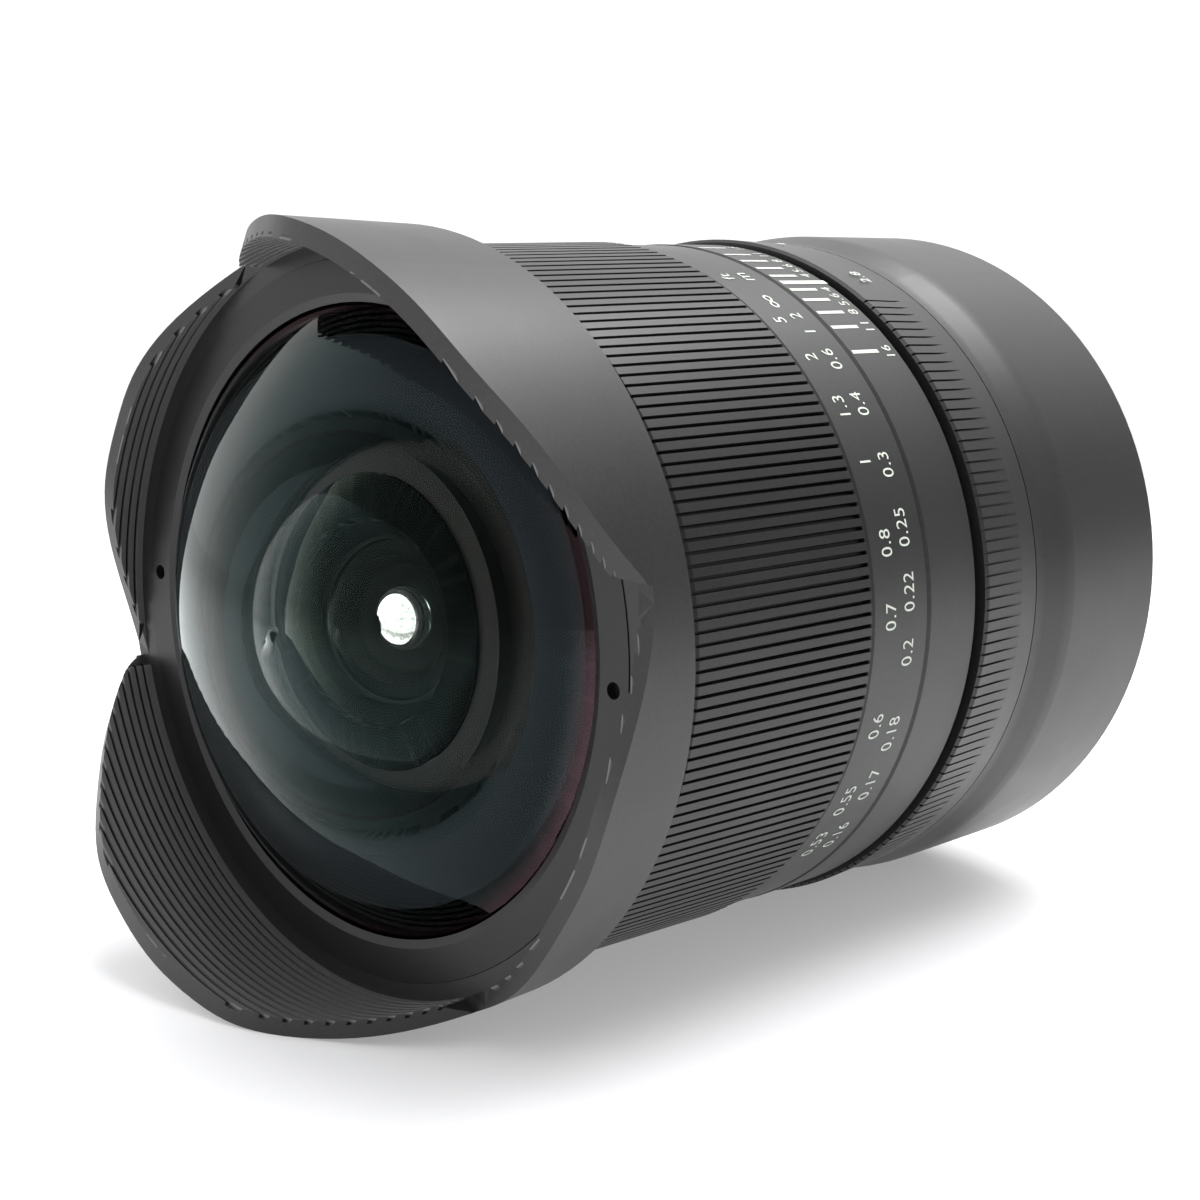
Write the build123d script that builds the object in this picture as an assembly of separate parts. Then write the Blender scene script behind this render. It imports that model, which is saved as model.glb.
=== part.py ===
from build123d import *
import os
from math import asin, atan2, ceil, copysign, cos, degrees, hypot, pi, radians, sin, sqrt

os.makedirs("parts", exist_ok=True)

# A manual fisheye lens with petal hood, focus ring, aperture ring and bayonet mount, in millimetres.
# The pieces are modelled along a local Z axis: the mount flange is at zero, the front lies at negative z.
# Local +X is the side of the index mark. At the end the lens is laid on its side, optical axis along Y,
# front towards -Y, and rolled about that axis by lying_roll, with +Z up.
lying_roll = 26.5

# Outer barrel, from the flange forwards
mount_plate_thickness = 1.5
rear_barrel_length = 22.7
aperture_ring_length = 9.6
shadow_groove_width = 1.2
scale_ring_length = 8.0
focus_scale_length = 8.9
focus_grip_length = 25.2
ring_gap = 0.15
hood_gap = 2.2
hood_skirt_length = 4.8
side_petal_height = 4.3
main_petal_height = 13.1

# Radial build-up, from the sliding carrier outwards
carrier_radius = 31.25
carrier_wall = 2.0
running_clearance = 0.05
sleeve_wall = 2.6
grip_height = 2.05
grip_taper = 0.45
focus_scale_height = 1.8
scale_ring_height = 1.95
aperture_ring_height = 2.55
aperture_ring_taper = 0.4
rear_barrel_height = 3.05
barrel_wall = 2.0
hood_height = 6.15
hood_flare = 0.6
petal_wall = 1.4
ledge_width = 1.65
front_ring_width = 3.35
cell_clearance = 0.05
cell_wall = 1.6

# Knurls
grip_rib_count = 196
grip_groove_depth = 0.6
grip_groove_width = 0.54
grip_end_chamfer = 0.5
ring_rib_count = 198
ring_groove_depth = 0.4
ring_groove_width = 0.32
ring_knurl_front = 0.7
ring_knurl_length = 6.0
ring_bare_before = 7.0
ring_bare_after = 62.0
edge_chamfer = 0.3

# Petal hood
petal_notch_angle = 52.0
petal_groove_pitch = 0.94
petal_groove_width = 0.4
petal_groove_depth = 0.45
petal_first_groove = 0.75
petal_corner_spare = 0.25
main_petal_shares = [(0.0, 0.0), (0.22, 0.023), (0.435, 0.09), (0.635, 0.3), (0.816, 0.565), (0.96, 0.94)]
side_petal_shares = [(0.0, 0.0), (0.28, 0.02), (0.555, 0.33), (0.81, 0.79), (0.95, 0.99)]
ring_bore_depth = 1.6
hub_wall = 1.6
hub_land = 6.0

# Front element and its retaining ring
front_glass_setback = 1.3
front_glass_rim = 3.2
front_dome_curve = 44.0
front_bowl_land = 11.7
front_bowl_fullness = 1.2
ring_proud = 0.1
ring_lip_width = 0.8
ring_lip_fall = 0.3
spanner_hole_radius = 0.75
spanner_hole_depth = 0.9
spanner_hole_inset = 1.6
spanner_angle = 66.0

# Front group: second element in the cell's nose, the rest in one bore
nose_air = 1.9
second_front_curve = 40.0
second_bowl_curve = 13.0
second_bowl_land = 5.0
second_rim = 3.7
nose_wall = 1.9
nose_lip = 0.5
cell_ledge = 1.2
bore_glass_radius = 12.0
third_rim = 5.7
third_front_curve = -80.0
third_bowl_curve = 20.0
third_bowl_radius = 9.5
fourth_front_curve = 24.0
fourth_rim = 1.0
cement_curve = -22.0
fifth_rim = 4.1
fifth_rear_curve = -60.0
sixth_front_curve = 30.0
sixth_rim = 1.0
sixth_rear_curve = -40.0
first_spacer_length = 13.0
second_spacer_length = 11.2
spacer_wall = 1.8
lock_ring_length = 1.3
front_cell_tail = 1.9

# Iris
blade_count = 10
blade_thickness = 0.12
blade_pitch = 0.2
blade_arc_radius = 6.6
blade_outer_radius = 10.9
blade_sweep = 150.0
blade_root_angle = 6.0
pivot_circle_radius = 12.2
pivot_pin_radius = 0.5
pivot_ear_radius = 1.0
lever_length = 5.9
lever_end_radius = 0.9
cam_pin_radius = 0.45
pin_clearance = 0.05
open_aperture_radius = 6.2
closed_aperture_radius = 1.1
aperture_travel = 50.0
iris_stop_radius = 7.0
iris_bore_radius = 16.5
pivot_plate_thickness = 1.0
iris_air = 0.15
cam_ring_thickness = 1.1
iris_cover_thickness = 1.0
iris_recess = 3.6
iris_housing_length = 9.6
cam_slot_points = 9

# Aperture drive
drive_pin_radius = 0.55
drive_pin_angle = 150.0
drive_reach = 0.6
slot_end_clearance = 4.0
drive_clearance = 0.2

# Rear group
rear_glass_radius = 9.0
seventh_front_curve = 60.0
seventh_rim = 2.6
rear_cement_curve = -24.0
eighth_rim = 3.4
eighth_rear_curve = -70.0
ninth_front_curve = 34.0
ninth_rim = 1.2
second_cement_curve = -18.0
tenth_rim = 3.2
tenth_rear_curve = -60.0
rear_spacer_length = 2.4
last_glass_radius = 10.5
last_front_curve = 45.0
last_rim = 1.6
last_rear_curve = -55.0
rear_cell_ledge = 1.0
rear_cell_tail_radius = 12.6
rear_lock_length = 1.2

# Focus
focus_travel = 1.6
focus_throw = 103.0
key_width = 4.0
key_height = 1.1
key_length = 6.0
key_angles = (60.0, 240.0)
key_screw_radius = 1.2
stop_pin_radius = 0.6
stop_pin_length = 1.5
stop_pin_angle = 200.0
main_tube_front = 3.4
sleeve_air = 0.3
tube_tail = 4.0

# Mount
mount_plate_rim = 3.3
mount_flange_width = 6.8
mount_spigot_wall = 2.6
mount_spigot_length = 5.3
mount_lug_height = 2.0
mount_lug_front = 3.2
mount_lug_thickness = 1.7
mount_lug_sweep = 52.0
mount_lug_count = 3
mount_screw_count = 4
mount_screw_angle = 45.0
mount_screw_inset = 2.6
mount_screw_head_radius = 1.7
mount_screw_radius = 0.9
mount_screw_length = 3.2
mount_screw_land = 0.225
mount_screw_slot_width = 0.3
mount_screw_slot_depth = 0.225
lock_hole_radius = 1.3
lock_hole_angle = 20.0
barrel_web = 2.5
barrel_rise_length = 6.0
front_web = 2.0
baffle_thickness = 0.8
baffle_opening_width = 34.0
baffle_opening_height = 23.0
baffle_corner = 3.0
baffle_inset = 1.0
web_bore_step = 1.0
dot_radius = 0.9
dot_sink = 0.6
dot_flush = 0.05

# Overrun of cutting tools
overrun = 1.0

# Axial places, worked out from the lengths above
barrel_rear_z = -mount_plate_thickness
barrel_front_z = barrel_rear_z - rear_barrel_length
ring_rear_z = barrel_front_z - ring_gap
ring_front_z = ring_rear_z - aperture_ring_length
scale_rear_z = ring_front_z - shadow_groove_width
scale_front_z = scale_rear_z - scale_ring_length
focus_rear_z = scale_front_z - ring_gap
grip_rear_z = focus_rear_z - focus_scale_length
grip_front_z = grip_rear_z - focus_grip_length
hood_rear_z = grip_front_z - hood_gap
hood_face_z = hood_rear_z - hood_skirt_length
side_tip_z = hood_face_z - side_petal_height
main_tip_z = hood_face_z - main_petal_height
glass_rim_z = hood_face_z + front_glass_setback
glass_seat_z = glass_rim_z + front_glass_rim
hub_rear_z = glass_seat_z + hub_wall

# Radii, worked out from the sizes above
sleeve_bore = carrier_radius + running_clearance
sleeve_radius = sleeve_bore + sleeve_wall
tube_radius = sleeve_radius - running_clearance
carrier_bore = carrier_radius - carrier_wall
cell_radius = carrier_bore - cell_clearance
focus_grip_rear_radius = sleeve_radius + grip_height
focus_grip_front_radius = focus_grip_rear_radius - grip_taper
focus_scale_radius = sleeve_radius + focus_scale_height
scale_ring_radius = tube_radius + scale_ring_height
aperture_ring_radius = tube_radius + aperture_ring_height
aperture_waist_radius = aperture_ring_radius - aperture_ring_taper
rear_barrel_radius = tube_radius + rear_barrel_height
barrel_bore = rear_barrel_radius - barrel_wall
hood_rear_radius = carrier_radius + hood_height
hood_tip_radius = hood_rear_radius + hood_flare
petal_base_radius = hood_rear_radius - petal_wall
ring_bore_radius = petal_base_radius - ledge_width
front_glass_radius = ring_bore_radius - front_ring_width
hub_bore_radius = front_glass_radius - hub_land
glass_bore = front_glass_radius + cell_clearance
ring_lip_radius = front_glass_radius - ring_lip_width
spanner_circle_radius = front_glass_radius + spanner_hole_inset
front_bowl_radius = front_glass_radius - front_bowl_land
front_bowl_curve = front_bowl_radius + front_bowl_fullness
second_glass_radius = front_bowl_radius - nose_air - nose_wall
second_bowl_radius = second_glass_radius - second_bowl_land
mount_plate_radius = rear_barrel_radius - mount_plate_rim
mount_screw_circle = mount_plate_radius - mount_screw_inset
mount_spigot_radius = mount_plate_radius - mount_flange_width
mount_throat_radius = mount_spigot_radius - mount_spigot_wall
mount_lug_radius = mount_spigot_radius + mount_lug_height


def sag(curve, radius):
    """Depth of a spherical surface at a radius; a positive curve has its centre to the rear."""
    return curve - copysign(sqrt(curve**2 - radius**2), curve)


def lathe(*points):
    """Solid of revolution about the optical axis from (radius, z) points."""
    return revolve(Plane.XZ * make_face(Polyline(*points, close=True)), Axis.Z)


def tube(inner, outer, front, rear):
    """Plain ring between two radii and two axial places."""
    return lathe((inner, front), (outer, front), (outer, rear), (inner, rear))


def turned(angle, piece):
    """Piece turned about the optical axis."""
    return Rot(0, 0, angle) * piece


def sector(inner, outer, front, rear, start, sweep):
    """Part of a ring from one angle over a sweep."""
    face = Plane.XZ * make_face(
        Polyline((inner, front), (outer, front), (outer, rear), (inner, rear), close=True)
    )
    return turned(start, revolve(face, Axis.Z, revolution_arc=sweep))


def radial_pin(radius, inner, outer, z, angle):
    """Round pin that lies along a radius."""
    pin = Plane.YZ * Cylinder(radius, outer - inner, align=(Align.CENTER, Align.CENTER, Align.MIN))
    return turned(angle, Pos(inner, 0, z) * pin)


def radial_slot(radius, inner, outer, front, rear):
    """Cutter with round ends, cut along the radius of the drive pin."""
    outline = Rot(0, 0, 90) * SlotCenterToCenter(rear - front, 2 * radius)
    place = Plane(origin=(inner, 0, (front + rear) / 2), x_dir=(0, 1, 0), z_dir=(1, 0, 0))
    return turned(drive_pin_angle, extrude(place * outline, amount=outer - inner))


def axial_pin(radius, front, rear, circle, angle):
    """Round pin parallel to the optical axis."""
    pin = Cylinder(radius, rear - front, align=(Align.CENTER, Align.CENTER, Align.MIN))
    return turned(angle, Pos(circle, 0, front) * pin)


def glass(radius, front_rim, front_curve, rear_rim, rear_curve, rear_radius=None):
    """Round lens element between two spherical surfaces, with a flat rear land outside rear_radius."""
    rear_radius = rear_radius or radius
    front_apex = front_rim - sag(front_curve, radius)
    rear_apex = rear_rim - sag(rear_curve, rear_radius)
    front_mid = front_apex + sag(front_curve, radius / 2)
    rear_mid = rear_apex + sag(rear_curve, rear_radius / 2)
    edges = [
        ThreePointArc((0, front_apex), (radius / 2, front_mid), (radius, front_rim)),
        Line((radius, front_rim), (radius, rear_rim)),
        ThreePointArc((rear_radius, rear_rim), (rear_radius / 2, rear_mid), (0, rear_apex)),
        Line((0, rear_apex), (0, front_apex)),
    ]
    if rear_radius < radius:
        edges.append(Line((radius, rear_rim), (rear_radius, rear_rim)))
    return revolve(Plane.XZ * make_face(edges), Axis.Z)


def toothed_face(root, crest, count, groove_width, first=0, last=None):
    """Disc whose rim has grooves between ribs, from groove number first up to last."""
    last = count if last is None else last
    pitch = 2 * pi / count
    half_groove = groove_width / 2 / crest
    flank = half_groove / 2
    groove = [(-half_groove, crest), (-flank, root), (flank, root), (half_groove, crest)]
    points = []
    for number in range(count):
        middle = number * pitch
        if first <= number < last:
            for offset, radius in groove:
                points.append((radius * cos(middle + offset), radius * sin(middle + offset)))
        else:
            points.append((crest * cos(middle), crest * sin(middle)))
    return make_face(Polyline(*points, close=True))


# Petal hood, front glass and its ring

def petal_window(plane, half_width, tip, notch, shares):
    """Cutter that leaves the rim of one opposite pair of petals."""
    right = [(s * half_width, tip + h * (notch - tip)) for s, h in shares]
    left = [(-x, z) for x, z in reversed(right[1:])]
    rim = Spline(*left, *right)
    ahead = main_tip_z - overrun
    corners = [(half_width, notch), (half_width, ahead), (-half_width, ahead), (-half_width, notch)]
    around = Polyline(right[-1], *corners, left[0])
    return extrude(plane * make_face([rim, *around.edges()]), amount=hood_tip_radius + overrun, both=True)


def petal_hood():
    """Front barrel in one piece with its four petals and the anti-reflection grooves inside them."""
    slope = (hood_tip_radius - hood_rear_radius) / (hood_rear_z - main_tip_z)
    front = main_tip_z - overrun / 2
    wall = [(petal_base_radius, hood_face_z)]
    groove = hood_face_z - petal_first_groove
    while groove - petal_groove_width > main_tip_z:
        wall += [
            (petal_base_radius, groove),
            (petal_base_radius + petal_groove_depth, groove - petal_groove_width / 4),
            (petal_base_radius + petal_groove_depth, groove - petal_groove_width),
            (petal_base_radius, groove - petal_groove_width),
        ]
        groove -= petal_groove_pitch
    wall.append((petal_base_radius, front))
    body = lathe(
        (hub_bore_radius, glass_seat_z),
        (glass_bore, glass_seat_z),
        (glass_bore, hood_face_z + ring_bore_depth),
        (ring_bore_radius, hood_face_z + ring_bore_depth),
        (ring_bore_radius, hood_face_z),
        *wall,
        (hood_rear_radius + slope * (hood_rear_z - front), front),
        (hood_rear_radius, hood_rear_z),
        (carrier_radius, hood_rear_z),
        (carrier_radius, hub_rear_z),
        (hub_bore_radius, hub_rear_z),
    )
    corner = hood_tip_radius + petal_corner_spare
    half_main = corner * sin(radians(petal_notch_angle))
    half_side = corner * cos(radians(petal_notch_angle))
    body -= petal_window(Plane.YZ, half_main, main_tip_z, hood_face_z, main_petal_shares)
    body -= petal_window(Plane.XZ, half_side, side_tip_z, hood_face_z, side_petal_shares)
    return body


def front_retaining_ring():
    """Threaded ring that holds the front element, with two spanner holes."""
    front = hood_face_z - ring_proud
    rear = hood_face_z + ring_bore_depth
    outer = ring_bore_radius - cell_clearance
    bulge = sag(front_dome_curve, front_glass_radius) - sag(front_dome_curve, ring_lip_radius)
    body = lathe(
        (front_glass_radius, front),
        (outer, front),
        (outer, rear),
        (glass_bore, rear),
        (glass_bore, glass_rim_z - cell_clearance),
        (ring_lip_radius, glass_rim_z - bulge - 2 * cell_clearance),
        (ring_lip_radius, front + ring_lip_fall),
    )
    for half_turn in range(2):
        angle = spanner_angle + half_turn * 180
        floor = front + spanner_hole_depth
        body -= axial_pin(spanner_hole_radius, front - overrun, floor, spanner_circle_radius, angle)
    return body


def front_element():
    """Large meniscus that bulges out between the petals."""
    return glass(
        front_glass_radius, glass_rim_z, front_dome_curve,
        glass_seat_z, front_bowl_curve, front_bowl_radius,
    )


# Front group: axial places and pieces
second_rear_z = hub_rear_z - cell_ledge / 3
second_front_z = second_rear_z - second_rim
bore_front_z = second_rear_z + cell_ledge
third_rear_z = bore_front_z + third_rim
fourth_front_z = third_rear_z + first_spacer_length
cement_z = fourth_front_z + fourth_rim
fifth_rear_z = cement_z + fifth_rim
sixth_front_z = fifth_rear_z + second_spacer_length
sixth_rear_z = sixth_front_z + sixth_rim
cell_tail_z = sixth_rear_z + lock_ring_length + front_cell_tail


def front_cell():
    """Barrel inside the carrier that holds elements two to six."""
    nose_radius = second_glass_radius + cell_clearance
    bore = bore_glass_radius + cell_clearance
    return lathe(
        (nose_radius, second_front_z + nose_lip),
        (nose_radius + nose_wall, second_front_z + nose_lip),
        (nose_radius + nose_wall, glass_seat_z + cell_clearance),
        (hub_bore_radius - cell_clearance, glass_seat_z + cell_clearance),
        (hub_bore_radius - cell_clearance, hub_rear_z),
        (cell_radius, hub_rear_z),
        (cell_radius, cell_tail_z),
        (cell_radius - cell_wall, cell_tail_z),
        (cell_radius - cell_wall, bore_front_z + front_web),
        (bore + cell_wall, bore_front_z + front_web),
        (bore + cell_wall, cell_tail_z),
        (bore, cell_tail_z),
        (bore, bore_front_z),
        (second_bowl_radius, bore_front_z),
        (second_bowl_radius, second_rear_z),
        (nose_radius, second_rear_z),
    )


def second_element():
    return glass(
        second_glass_radius, second_front_z, second_front_curve,
        second_rear_z, second_bowl_curve, second_bowl_radius,
    )


def third_element():
    return glass(
        bore_glass_radius, bore_front_z, third_front_curve,
        third_rear_z, third_bowl_curve, third_bowl_radius,
    )


def fourth_element():
    return glass(bore_glass_radius, fourth_front_z, fourth_front_curve, cement_z, cement_curve)


def fifth_element():
    return glass(bore_glass_radius, cement_z, cement_curve, fifth_rear_z, fifth_rear_curve)


def sixth_element():
    return glass(bore_glass_radius, sixth_front_z, sixth_front_curve, sixth_rear_z, sixth_rear_curve)


def spacer(front, rear, front_curve, rear_curve, radius, wall):
    """Ring between two elements whose ends follow the glass; a curve of None is a flat seat."""
    inner = radius - wall
    front_inner = front
    rear_inner = rear
    if front_curve:
        front_inner = front - sag(front_curve, radius) + sag(front_curve, inner) + cell_clearance
    if rear_curve:
        rear_inner = rear - sag(rear_curve, radius) + sag(rear_curve, inner) - cell_clearance
    return lathe((inner, front_inner), (radius, front), (radius, rear), (inner, rear_inner))


def first_spacer():
    return spacer(third_rear_z, fourth_front_z, None, fourth_front_curve, bore_glass_radius, spacer_wall)


def second_spacer():
    return spacer(
        fifth_rear_z, sixth_front_z, fifth_rear_curve, sixth_front_curve, bore_glass_radius, spacer_wall
    )


def front_lock_ring():
    """Ring that screws in behind the sixth element."""
    rear = sixth_rear_z + lock_ring_length
    return spacer(sixth_rear_z, rear, sixth_rear_curve, None, bore_glass_radius, spacer_wall)


# Carrier, iris and fixed tubes: axial places
carrier_rear_z = barrel_front_z + tube_tail
iris_front_z = cell_tail_z
plate_front_z = iris_front_z + iris_recess
blade_front_z = plate_front_z + pivot_plate_thickness
cam_front_z = blade_front_z + blade_count * blade_pitch + iris_air
cam_rear_z = cam_front_z + cam_ring_thickness
cover_front_z = cam_rear_z + iris_air
cover_rear_z = cover_front_z + iris_cover_thickness
iris_rear_z = iris_front_z + iris_housing_length
drive_z = cam_front_z + cam_ring_thickness / 2
drive_slot_start = drive_pin_angle - slot_end_clearance
drive_slot_sweep = aperture_travel + 2 * slot_end_clearance
key_front_z = carrier_rear_z - key_length
tube_bore = sleeve_bore
tube_front_z = focus_rear_z - main_tube_front
tube_rear_z = carrier_rear_z


def carrier_tube():
    """Tube that slides in the focusing sleeve and carries the whole optical group."""
    body = tube(carrier_bore, carrier_radius, hub_rear_z, carrier_rear_z)
    reach = drive_pin_radius + drive_clearance
    body -= sector(
        carrier_bore - overrun, carrier_radius + overrun, drive_z - reach, drive_z + reach,
        drive_slot_start, drive_slot_sweep,
    )
    groove_front = key_front_z - focus_travel
    for angle in key_angles:
        groove_rear = carrier_rear_z + overrun
        slot = Box(key_height * 2, key_width + 2 * running_clearance, groove_rear - groove_front)
        middle = (groove_front + groove_rear) / 2
        body -= turned(angle, Pos(carrier_radius, 0, middle) * slot)
    return body


def guide_key(angle):
    """Straight key on the main tube that keeps the carrier from turning."""
    height = key_height - running_clearance * 2
    block = Box(height * 2, key_width, key_length)
    block = Pos(tube_bore, 0, key_front_z + key_length / 2) * block
    block &= tube(tube_bore - height, tube_bore, key_front_z, carrier_rear_z)
    return turned(angle, block)


def guide_keys():
    return Compound([guide_key(angle) for angle in key_angles])


def main_tube():
    """Fixed tube that carries the scale ring, the aperture ring and the rear barrel."""
    body = tube(tube_bore, tube_radius, tube_front_z, tube_rear_z)
    reach = drive_pin_radius + drive_clearance
    body -= sector(
        tube_bore - overrun, tube_radius + overrun, drive_z - reach - focus_travel, drive_z + reach,
        drive_slot_start, drive_slot_sweep,
    )
    for angle in key_angles:
        middle = key_front_z + key_length / 2
        body -= radial_pin(key_screw_radius, tube_bore - overrun, tube_radius + overrun, middle, angle)
    return body


def key_screws():
    """Flush screws through the main tube into the guide keys."""
    middle = key_front_z + key_length / 2
    radius = key_screw_radius - cell_clearance
    outer = tube_radius - running_clearance
    return Compound([radial_pin(radius, tube_bore, outer, middle, angle) for angle in key_angles])


def focus_stop_pin():
    """Pin on the main tube's front face that ends the focusing throw."""
    circle = (sleeve_bore + sleeve_radius) / 2
    return axial_pin(stop_pin_radius, tube_front_z - stop_pin_length, tube_front_z, circle, stop_pin_angle)


def helicoid_sleeve():
    """Rotating sleeve inside the focus ring that drives the carrier."""
    rear = tube_front_z - sleeve_air
    body = tube(sleeve_bore, sleeve_radius, grip_front_z, rear)
    circle = (sleeve_bore + sleeve_radius) / 2
    spare = degrees((stop_pin_radius + sleeve_air) / circle)
    room = stop_pin_radius + running_clearance * 2
    body -= sector(
        circle - room, circle + room, tube_front_z - stop_pin_length - sleeve_air, rear + overrun,
        stop_pin_angle - spare, focus_throw + 2 * spare,
    )
    return body


# Rings outside the tubes

def focus_grip_ring():
    """Knurled band of the focus ring, slightly tapered towards the front."""
    root = focus_grip_front_radius - grip_groove_depth
    crest = focus_grip_rear_radius + overrun
    blank = lathe(
        (sleeve_radius, grip_front_z),
        (focus_grip_front_radius - grip_end_chamfer, grip_front_z),
        (focus_grip_front_radius, grip_front_z + grip_end_chamfer),
        (focus_grip_rear_radius, grip_rear_z - grip_end_chamfer),
        (focus_grip_rear_radius - grip_end_chamfer, grip_rear_z),
        (sleeve_radius, grip_rear_z),
    )
    comb = extrude(toothed_face(root, crest, grip_rib_count, grip_groove_width), amount=focus_grip_length)
    return blank & (Pos(0, 0, grip_front_z) * comb)


def focus_scale_ring():
    """Smooth band of the focus ring that carries the distance scale and turns on the main tube."""
    return lathe(
        (sleeve_radius, grip_rear_z),
        (focus_scale_radius - edge_chamfer, grip_rear_z),
        (focus_scale_radius, grip_rear_z + edge_chamfer),
        (focus_scale_radius, focus_rear_z - edge_chamfer / 2),
        (focus_scale_radius - edge_chamfer / 2, focus_rear_z),
        (sleeve_radius, focus_rear_z),
    )


def scale_ring():
    """Fixed ring with the index and the depth-of-field scale."""
    return lathe(
        (tube_radius, scale_front_z),
        (scale_ring_radius - edge_chamfer, scale_front_z),
        (scale_ring_radius, scale_front_z + edge_chamfer),
        (scale_ring_radius, scale_rear_z - edge_chamfer / 2),
        (scale_ring_radius - edge_chamfer / 2, scale_rear_z),
        (tube_radius, scale_rear_z),
    )


def aperture_ring():
    """Ring with a fine knurl that fades to the rear and a bare stretch for the f-numbers."""
    bore = tube_radius + running_clearance
    knurl_front = ring_front_z + ring_knurl_front
    knurl_rear = knurl_front + ring_knurl_length
    root = aperture_ring_radius - ring_groove_depth
    fall = (aperture_ring_radius - aperture_waist_radius) * ring_knurl_length / aperture_ring_length
    blank = lathe(
        (bore, ring_front_z),
        (aperture_ring_radius - edge_chamfer, ring_front_z),
        (aperture_ring_radius, ring_front_z + edge_chamfer),
        (aperture_ring_radius - fall, knurl_rear),
        (aperture_waist_radius, ring_rear_z),
        (bore, ring_rear_z),
    )
    core = lathe(
        (bore, ring_front_z),
        (aperture_ring_radius - edge_chamfer, ring_front_z),
        (aperture_ring_radius - edge_chamfer, knurl_front - ring_groove_depth),
        (root, knurl_front),
        (root, knurl_front + ring_knurl_length / 2),
        (aperture_ring_radius - fall, knurl_rear),
        (aperture_waist_radius, ring_rear_z),
        (bore, ring_rear_z),
    )
    pitch = 360 / ring_rib_count
    first = ceil(ring_bare_before / pitch)
    last = ring_rib_count - ceil(ring_bare_after / pitch)
    crest = aperture_ring_radius + overrun
    face = toothed_face(root - overrun, crest, ring_rib_count, ring_groove_width, first, last)
    comb = Pos(0, 0, ring_front_z) * extrude(face, amount=aperture_ring_length)
    body = (blank & comb) + core
    inner = bore - overrun
    outer = bore + drive_reach + drive_clearance
    radius = drive_pin_radius + running_clearance
    return body - radial_slot(radius, inner, outer, drive_z - focus_travel, drive_z)


# Iris

def iris_housing():
    """Ring with the pivot plate of the iris blades."""
    body = lathe(
        (iris_stop_radius, plate_front_z),
        (iris_bore_radius, plate_front_z),
        (iris_bore_radius, plate_front_z - front_web),
        (cell_radius - cell_wall, plate_front_z - front_web),
        (cell_radius - cell_wall, iris_front_z),
        (cell_radius, iris_front_z),
        (cell_radius, iris_rear_z),
        (cell_radius - cell_wall, iris_rear_z),
        (cell_radius - cell_wall, plate_front_z),
        (iris_bore_radius + cell_wall, plate_front_z),
        (iris_bore_radius + cell_wall, iris_rear_z),
        (iris_bore_radius, iris_rear_z),
        (iris_bore_radius, blade_front_z),
        (iris_stop_radius, blade_front_z),
    )
    hole = pivot_pin_radius + pin_clearance
    hole_front = plate_front_z - overrun
    hole_rear = blade_front_z + overrun
    for number in range(blade_count):
        angle = number * 360 / blade_count
        body -= axial_pin(hole, hole_front, hole_rear, pivot_circle_radius, angle)
    reach = drive_pin_radius + drive_clearance
    body -= sector(
        iris_bore_radius - overrun, cell_radius + overrun, drive_z - reach, drive_z + reach,
        drive_slot_start, drive_slot_sweep,
    )
    return body


# The blades swing by this much from the open stop to the open and to the closed aperture
swing_open = 2 * degrees(asin((blade_arc_radius - open_aperture_radius) / 2 / pivot_circle_radius))
swing_closed = 2 * degrees(asin((blade_arc_radius - closed_aperture_radius) / 2 / pivot_circle_radius))
blade_swing = swing_closed - swing_open
lever_angle = -degrees(2 * asin(lever_length / 2 / pivot_circle_radius))


def blade_face():
    """Outline of a blade at the fully open stop: a crescent, its pivot ear and its lever."""
    start = radians(-blade_root_angle)
    end = radians(blade_sweep)
    middle = (start + end) / 2
    tail = (blade_outer_radius - blade_arc_radius) / 2
    inner = [(blade_arc_radius * cos(a), blade_arc_radius * sin(a)) for a in (start, middle, end)]
    outer = [(blade_outer_radius * cos(a), blade_outer_radius * sin(a)) for a in (end, middle, start)]
    centre = blade_arc_radius + tail
    cap = radians(blade_sweep) + tail / centre
    band = make_face([
        ThreePointArc(*inner),
        ThreePointArc(inner[2], (centre * cos(cap), centre * sin(cap)), outer[0]),
        ThreePointArc(*outer),
        Line(outer[2], inner[0]),
    ])
    ear = Pos(pivot_circle_radius, 0) * Circle(pivot_ear_radius)
    root = make_face(Polyline(
        (blade_outer_radius - tail, -pivot_ear_radius),
        (pivot_circle_radius, -pivot_ear_radius),
        (pivot_circle_radius, pivot_ear_radius),
        (blade_outer_radius - tail, pivot_ear_radius),
        close=True,
    ))
    tip = (pivot_circle_radius * cos(radians(lever_angle)), pivot_circle_radius * sin(radians(lever_angle)))
    end_disc = Pos(*tip) * Circle(lever_end_radius)
    heading = atan2(tip[1], tip[0] - pivot_circle_radius)
    across = (-sin(heading) * cam_pin_radius, cos(heading) * cam_pin_radius)
    bar = make_face(Polyline(
        (pivot_circle_radius + across[0], across[1]),
        (tip[0] + across[0], tip[1] + across[1]),
        (tip[0] - across[0], tip[1] - across[1]),
        (pivot_circle_radius - across[0], -across[1]),
        close=True,
    ))
    return band + ear + root + end_disc + bar, tip


def swung(swing, piece):
    """Piece of the first blade swung about its pivot."""
    return Pos(pivot_circle_radius, 0, 0) * Rot(0, 0, swing) * Pos(-pivot_circle_radius, 0, 0) * piece


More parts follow.
